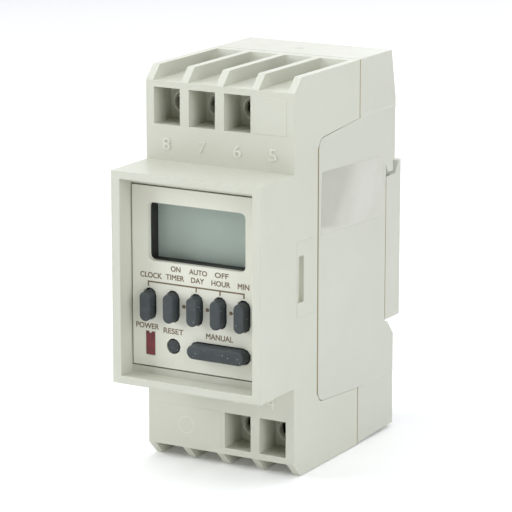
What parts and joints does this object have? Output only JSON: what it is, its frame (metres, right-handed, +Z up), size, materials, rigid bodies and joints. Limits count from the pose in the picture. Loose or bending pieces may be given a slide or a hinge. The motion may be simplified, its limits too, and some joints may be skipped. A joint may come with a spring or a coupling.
{
  "type": "din rail timer",
  "caption": "Digital DIN rail time switch with a display, rubber keys, recessed screw terminals, a sprung rail latch and a clip-in surface mounting adapter.",
  "frame": {"origin": "middle of the footprint, at the height of the lower ribs' feet", "axes": "+X to the right seen from the front, +Y from the display towards the rail, +Z up"},
  "size_m": [0.036, 0.063, 0.086],
  "materials": {
    "housing_plastic": "fine spark-eroded moulding, warm light grey",
    "rear_plastic": "smooth semi-matt moulding, light grey",
    "adapter_plastic": "smooth semi-matt moulding, light grey",
    "panel_plastic": "fine matt moulding with printed legends",
    "clear_plastic": "clear moulded pane",
    "lcd_glass": "reflective liquid crystal cell, blank",
    "black_plastic": "moulded black plastic",
    "black_rubber": "layered conductive rubber",
    "silicone_rubber": "dark slate silicone rubber",
    "red_lens": "tinted lamp body",
    "circuit_board": "green solder mask on glass epoxy",
    "tinned_steel": "bright tinned steel",
    "zinc_plated_steel": "zinc plated with a yellow passivation",
    "spring_steel": "drawn spring wire",
    "brass": "tinned brass strip",
    "copper_winding": "enamelled copper wire winding",
    "film_capacitor": "yellow potted box",
    "sleeved_can": "dark blue sleeve on an aluminium can",
    "blue_epoxy": "dipped epoxy",
    "resistor_ceramic": "cement coated ceramic rod",
    "relay_plastic": "moulded relay cover",
    "latch_plastic": "black glass-filled nylon",
    "label_film": "blank glossy polyester film"
  },
  "bodies": {
    "housing": {"front_case": "housing_plastic", "rear_case": "rear_plastic", "surface_adapter": "adapter_plastic", "face_panel": "panel_plastic", "display_window": "clear_plastic", "lcd_cell": "lcd_glass", "lcd_frame": "black_plastic", "contact_strip": "black_rubber", "keypad_mat": "silicone_rubber", "power_led": "red_lens", "display_board": "circuit_board", "power_board": "circuit_board", "controller_chip": "black_plastic", "quartz_crystal": "tinned_steel", "battery_holder": "black_plastic", "backup_battery": "tinned_steel", "board_connector": "black_plastic", "mains_capacitor": "film_capacitor", "smoothing_capacitor": "sleeved_can", "varistor": "blue_epoxy", "fuse_resistor": "resistor_ceramic", "relay_base": "black_plastic", "relay_cover": "relay_plastic", "relay_coil": "copper_winding", "relay_yoke": "tinned_steel", "relay_contact": "brass", "latch_spring": "spring_steel", "rating_label": "label_film", "terminal_bar_8": "brass", "terminal_bar_7": "brass", "terminal_bar_6": "brass", "terminal_bar_3": "brass", "terminal_bar_4": "brass"},
    "clock_button": {"clock_button": "silicone_rubber"},
    "timer_button": {"timer_button": "silicone_rubber"},
    "day_button": {"day_button": "silicone_rubber"},
    "hour_button": {"hour_button": "silicone_rubber"},
    "minute_button": {"minute_button": "silicone_rubber"},
    "reset_button": {"reset_button": "silicone_rubber"},
    "manual_button": {"manual_button": "silicone_rubber"},
    "terminal_screw_8": {"terminal_screw_8": "zinc_plated_steel"},
    "clamp_cage_8": {"clamp_cage_8": "zinc_plated_steel"},
    "terminal_screw_7": {"terminal_screw_7": "zinc_plated_steel"},
    "clamp_cage_7": {"clamp_cage_7": "zinc_plated_steel"},
    "terminal_screw_6": {"terminal_screw_6": "zinc_plated_steel"},
    "clamp_cage_6": {"clamp_cage_6": "zinc_plated_steel"},
    "terminal_screw_3": {"terminal_screw_3": "zinc_plated_steel"},
    "clamp_cage_3": {"clamp_cage_3": "zinc_plated_steel"},
    "terminal_screw_4": {"terminal_screw_4": "zinc_plated_steel"},
    "clamp_cage_4": {"clamp_cage_4": "zinc_plated_steel"},
    "rail_latch": {"rail_latch": "latch_plastic"},
    "relay_armature": {"relay_armature": "tinned_steel"}
  },
  "joints": [
    {"name": "clock_press", "type": "slide", "parent": "housing", "child": "clock_button", "axis": [0, 1, 0], "range_m": [0, 0.001], "stiffness_N_per_m": 900},
    {"name": "timer_press", "type": "slide", "parent": "housing", "child": "timer_button", "axis": [0, 1, 0], "range_m": [0, 0.001], "stiffness_N_per_m": 900},
    {"name": "day_press", "type": "slide", "parent": "housing", "child": "day_button", "axis": [0, 1, 0], "range_m": [0, 0.001], "stiffness_N_per_m": 900},
    {"name": "hour_press", "type": "slide", "parent": "housing", "child": "hour_button", "axis": [0, 1, 0], "range_m": [0, 0.001], "stiffness_N_per_m": 900},
    {"name": "minute_press", "type": "slide", "parent": "housing", "child": "minute_button", "axis": [0, 1, 0], "range_m": [0, 0.001], "stiffness_N_per_m": 900},
    {"name": "reset_press", "type": "slide", "parent": "housing", "child": "reset_button", "axis": [0, 1, 0], "range_m": [0, 0.0008], "stiffness_N_per_m": 900},
    {"name": "manual_press", "type": "slide", "parent": "housing", "child": "manual_button", "axis": [0, 1, 0], "range_m": [0, 0.001], "stiffness_N_per_m": 900},
    {"name": "screw_8_turn", "type": "hinge", "parent": "housing", "child": "terminal_screw_8", "pos_m": [-0.01287, -0.0064, 0.07765], "axis": [0, 1, 0], "range_deg": [0, 1440]},
    {"name": "cage_8_lift", "type": "slide", "parent": "housing", "child": "clamp_cage_8", "axis": [0, -1, 0], "range_m": [0, 0.0024]},
    {"name": "screw_7_turn", "type": "hinge", "parent": "housing", "child": "terminal_screw_7", "pos_m": [-0.00429, -0.0064, 0.07765], "axis": [0, 1, 0], "range_deg": [0, 1440]},
    {"name": "cage_7_lift", "type": "slide", "parent": "housing", "child": "clamp_cage_7", "axis": [0, -1, 0], "range_m": [0, 0.0024]},
    {"name": "screw_6_turn", "type": "hinge", "parent": "housing", "child": "terminal_screw_6", "pos_m": [0.00429, -0.0064, 0.07765], "axis": [0, 1, 0], "range_deg": [0, 1440]},
    {"name": "cage_6_lift", "type": "slide", "parent": "housing", "child": "clamp_cage_6", "axis": [0, -1, 0], "range_m": [0, 0.0024]},
    {"name": "screw_3_turn", "type": "hinge", "parent": "housing", "child": "terminal_screw_3", "pos_m": [0.00429, -0.0064, 0.00835], "axis": [0, 1, 0], "range_deg": [0, 1440]},
    {"name": "cage_3_lift", "type": "slide", "parent": "housing", "child": "clamp_cage_3", "axis": [0, -1, 0], "range_m": [0, 0.0024]},
    {"name": "screw_4_turn", "type": "hinge", "parent": "housing", "child": "terminal_screw_4", "pos_m": [0.01287, -0.0064, 0.00835], "axis": [0, 1, 0], "range_deg": [0, 1440]},
    {"name": "cage_4_lift", "type": "slide", "parent": "housing", "child": "clamp_cage_4", "axis": [0, -1, 0], "range_m": [0, 0.0024]},
    {"name": "latch_slide", "type": "slide", "parent": "housing", "child": "rail_latch", "axis": [0, 0, -1], "range_m": [0, 0.003], "stiffness_N_per_m": 900, "springref_m": -0.002, "deforming": ["latch_spring"]},
    {"name": "armature_swing", "type": "hinge", "parent": "housing", "child": "relay_armature", "pos_m": [-0.0083, 0.0171, 0.0483], "axis": [1, 0, 0], "range_deg": [0, 5], "stiffness_Nm_per_rad": 0.02, "springref_deg": -2.86}
  ],
  "couplings": [
    {"joint": "screw_8_turn", "follows": "cage_8_lift", "rad_per_m": 10472},
    {"joint": "screw_7_turn", "follows": "cage_7_lift", "rad_per_m": 10472},
    {"joint": "screw_6_turn", "follows": "cage_6_lift", "rad_per_m": 10472},
    {"joint": "screw_3_turn", "follows": "cage_3_lift", "rad_per_m": 10472},
    {"joint": "screw_4_turn", "follows": "cage_4_lift", "rad_per_m": 10472}
  ]
}
